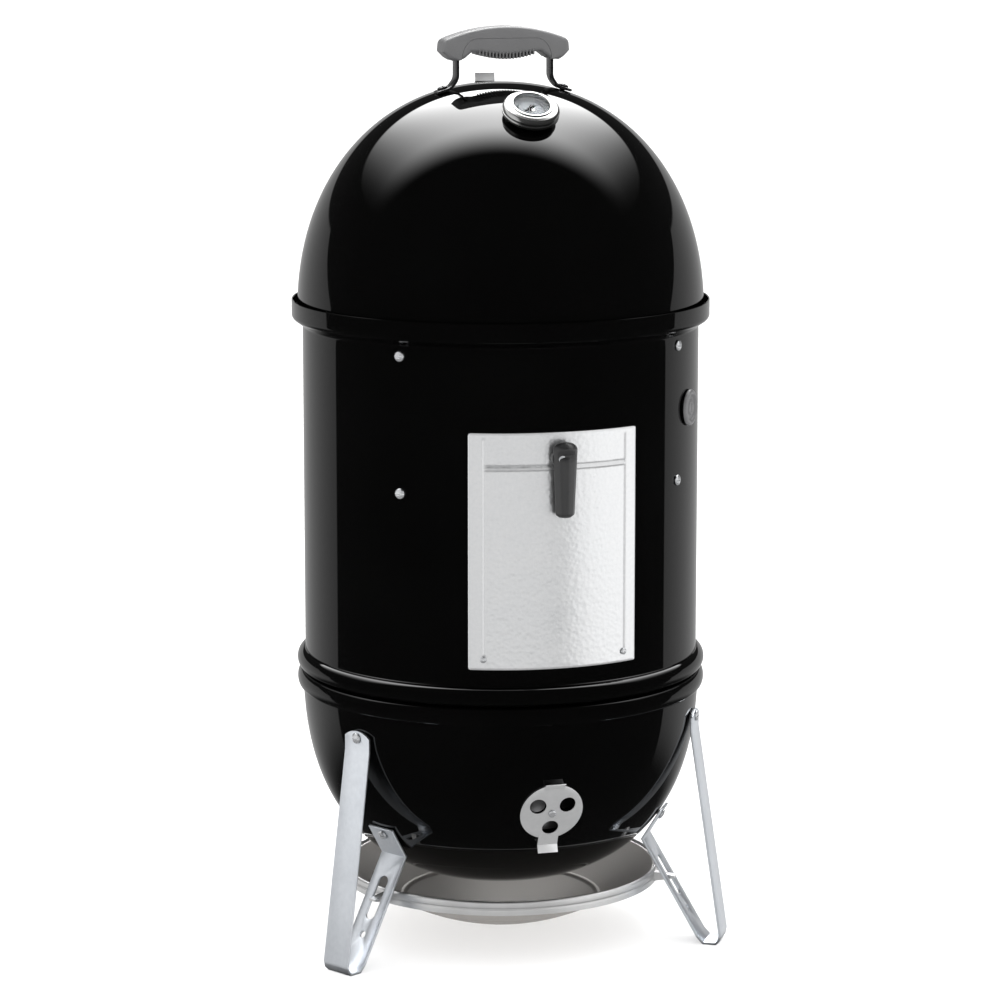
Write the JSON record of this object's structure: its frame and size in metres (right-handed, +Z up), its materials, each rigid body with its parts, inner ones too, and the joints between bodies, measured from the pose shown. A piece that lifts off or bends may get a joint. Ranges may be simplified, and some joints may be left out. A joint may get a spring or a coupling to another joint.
{
  "type": "vertical water smoker",
  "caption": "Upright bullet-shaped charcoal smoker: bowl on bent strap legs, cylindrical cooking section with side door, grates over a water pan, and a domed lid with vent and thermometer.",
  "frame": {"origin": "centre of the smoker on the ground, below the axis of the round sections", "axes": "+Z up along the axis of the round sections; the fuel door and the lid thermometer face -Y; +X is to the right of someone facing the door"},
  "size_m": [0.4764, 0.5128, 1.0416],
  "materials": {
    "enamel": "gloss black porcelain enamel",
    "black_steel": "satin black coated steel",
    "leg_steel": "satin plated steel strap",
    "zinc": "bright zinc-plated steel",
    "shield_aluminium": "satin spun aluminium",
    "damper_aluminium": "satin stamped aluminium",
    "plated_wire": "plated steel wire",
    "rubber": "matt silicone rubber",
    "door_aluminium": "bright hammered aluminium",
    "nylon": "satin glass-filled nylon",
    "grip_grey": "satin grey glass-filled nylon",
    "stainless": "turned stainless steel",
    "dial_white": "satin white printed dial",
    "needle_black": "matt black",
    "lens": "clear flat glass"
  },
  "bodies": {
    "root": {"bowl": "enamel", "leg_front_left": "leg_steel", "leg_front_right": "leg_steel", "leg_back": "leg_steel", "leg_bolts": "zinc", "leg_nuts": "zinc", "grate_brackets": "zinc", "heat_shield": "shield_aluminium", "bowl_damper_rivets": "zinc"},
    "bowl_damper_front": {"bowl_damper_front": "damper_aluminium"},
    "bowl_damper_right": {"bowl_damper_right": "damper_aluminium"},
    "bowl_damper_left": {"bowl_damper_left": "damper_aluminium"},
    "charcoal_grate": {"charcoal_grate": "plated_wire"},
    "charcoal_ring": {"charcoal_ring": "plated_wire"},
    "middle_section": {"body_shell": "enamel", "strap_front_right": "zinc", "strap_back_right": "zinc", "strap_back_left": "zinc", "strap_front_left": "zinc", "strap_bolts": "zinc", "strap_nuts": "zinc", "probe_grommet": "rubber"},
    "water_pan": {"water_pan": "enamel"},
    "lower_grate": {"lower_grate": "plated_wire"},
    "upper_grate": {"upper_grate": "plated_wire"},
    "door": {"door_panel": "door_aluminium", "door_hooks": "zinc", "door_rivets": "zinc"},
    "door_latch": {"door_knob": "nylon", "latch_shaft": "zinc", "latch_tongue": "zinc"},
    "lid": {"lid": "enamel", "handle_bracket": "black_steel", "handle_bolts": "black_steel", "handle_nuts": "zinc", "grip_cover": "grip_grey", "grip_insert": "grip_grey", "grip_screws": "zinc", "lid_damper_rivet": "zinc", "gauge_case": "stainless", "gauge_dial": "dial_white", "gauge_lens": "lens", "gauge_bezel": "stainless", "gauge_stem": "zinc", "gauge_nut": "zinc"},
    "lid_damper": {"lid_damper": "damper_aluminium"},
    "gauge_needle": {"gauge_needle": "needle_black"}
  },
  "joints": [
    {"name": "middle_section_lift", "type": "slide", "parent": "root", "child": "middle_section", "axis": [0, 0, 1], "range_m": [0, 0.3]},
    {"name": "lid_lift", "type": "slide", "parent": "middle_section", "child": "lid", "axis": [0, 0, 1], "range_m": [0, 0.32]},
    {"name": "charcoal_grate_lift", "type": "slide", "parent": "root", "child": "charcoal_grate", "axis": [0, 0, 1], "range_m": [0, 0.02]},
    {"name": "charcoal_ring_lift", "type": "slide", "parent": "charcoal_grate", "child": "charcoal_ring", "axis": [0, 0, 1], "range_m": [0, 0.02]},
    {"name": "water_pan_lift", "type": "slide", "parent": "middle_section", "child": "water_pan", "axis": [0, 0, 1], "range_m": [0, 0.015]},
    {"name": "lower_grate_lift", "type": "slide", "parent": "middle_section", "child": "lower_grate", "axis": [0, 0, 1], "range_m": [0, 0.08]},
    {"name": "upper_grate_lift", "type": "slide", "parent": "middle_section", "child": "upper_grate", "axis": [0, 0, 1], "range_m": [0, 0.05]},
    {"name": "bowl_damper_front_turn", "type": "hinge", "parent": "root", "child": "bowl_damper_front", "pos_m": [0, -0.20691, 0.188], "axis": [0, -0.9314, -0.3639], "range_deg": [0, 60]},
    {"name": "bowl_damper_right_turn", "type": "hinge", "parent": "root", "child": "bowl_damper_right", "pos_m": [0.17919, 0.10346, 0.188], "axis": [0.8067, 0.4657, -0.3639], "range_deg": [0, 60]},
    {"name": "bowl_damper_left_turn", "type": "hinge", "parent": "root", "child": "bowl_damper_left", "pos_m": [-0.17919, 0.10346, 0.188], "axis": [-0.8067, 0.4657, -0.3639], "range_deg": [0, 60]},
    {"name": "lid_damper_turn", "type": "hinge", "parent": "lid", "child": "lid_damper", "pos_m": [0, 0.103, 0.9558], "axis": [0, 0.4473, 0.8944], "range_deg": [0, 60]},
    {"name": "thermometer_needle", "type": "hinge", "parent": "lid", "child": "gauge_needle", "pos_m": [0, -0.117, 0.94811], "axis": [0, 0.5151, -0.8571], "range_deg": [0, 250]},
    {"name": "door_tilt", "type": "hinge", "parent": "middle_section", "child": "door", "pos_m": [0, -0.227, 0.3547], "axis": [1, 0, 0], "range_deg": [0, 25]},
    {"name": "latch_turn", "type": "hinge", "parent": "door", "child": "door_latch", "pos_m": [0, -0.227, 0.589], "axis": [0, -1, 0], "range_deg": [0, 90]}
  ]
}
